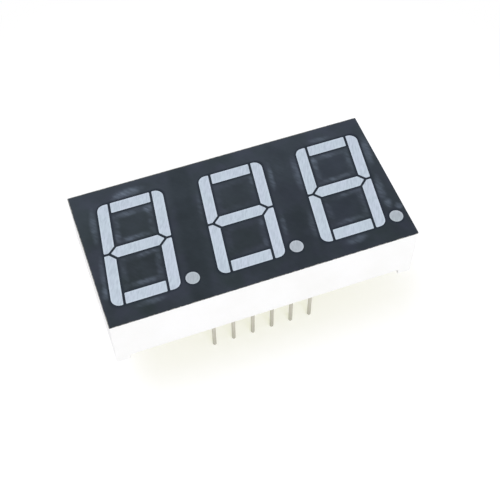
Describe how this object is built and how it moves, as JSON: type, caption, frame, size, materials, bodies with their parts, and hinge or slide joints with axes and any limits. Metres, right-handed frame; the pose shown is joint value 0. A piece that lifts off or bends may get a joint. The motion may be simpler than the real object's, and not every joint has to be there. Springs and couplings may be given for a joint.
{
  "type": "seven segment display",
  "caption": "Through-hole numeric display with leaning seven segment digits and decimal points behind a dark printed face, on two rows of pins.",
  "frame": {"origin": "under the middle of the face, level with the tips of the pins", "axes": "+Z out of the printed face, +X along the row of digits, +Y towards the tops of the digits"},
  "size_m": [0.0376, 0.019, 0.0145],
  "materials": {
    "housing": "smooth white moulded plastic",
    "ink": "satin slate ink with faint sink marks",
    "segment": "diffusing resin, finely textured",
    "board": "glass laminate",
    "copper": "bare copper foil",
    "solder": "bright tin solder",
    "potting": "cast resin",
    "die": "semiconductor die",
    "wire": "gold bond wire",
    "pin": "tinned, dulled"
  },
  "bodies": {
    "root": {"reflector_housing": "housing", "face_ink": "ink", "circuit_board": "board", "copper_pads": "copper", "solder_joints": "solder", "back_potting": "potting", "digit_1_segment_a": "segment", "digit_1_segment_b": "segment", "digit_1_segment_c": "segment", "digit_1_segment_d": "segment", "digit_1_segment_e": "segment", "digit_1_segment_f": "segment", "digit_1_segment_g": "segment", "digit_1_decimal_point": "segment", "digit_2_segment_a": "segment", "digit_2_segment_b": "segment", "digit_2_segment_c": "segment", "digit_2_segment_d": "segment", "digit_2_segment_e": "segment", "digit_2_segment_f": "segment", "digit_2_segment_g": "segment", "digit_2_decimal_point": "segment", "digit_3_segment_a": "segment", "digit_3_segment_b": "segment", "digit_3_segment_c": "segment", "digit_3_segment_d": "segment", "digit_3_segment_e": "segment", "digit_3_segment_f": "segment", "digit_3_segment_g": "segment", "digit_3_decimal_point": "segment", "digit_1_dies": "die", "digit_2_dies": "die", "digit_3_dies": "die", "digit_1_bond_wires": "wire", "digit_2_bond_wires": "wire", "digit_3_bond_wires": "wire", "pin_1": "pin", "pin_2": "pin", "pin_3": "pin", "pin_4": "pin", "pin_5": "pin", "pin_6": "pin", "pin_7": "pin", "pin_8": "pin", "pin_9": "pin", "pin_10": "pin", "pin_11": "pin", "pin_12": "pin"}
  },
  "joints": []
}
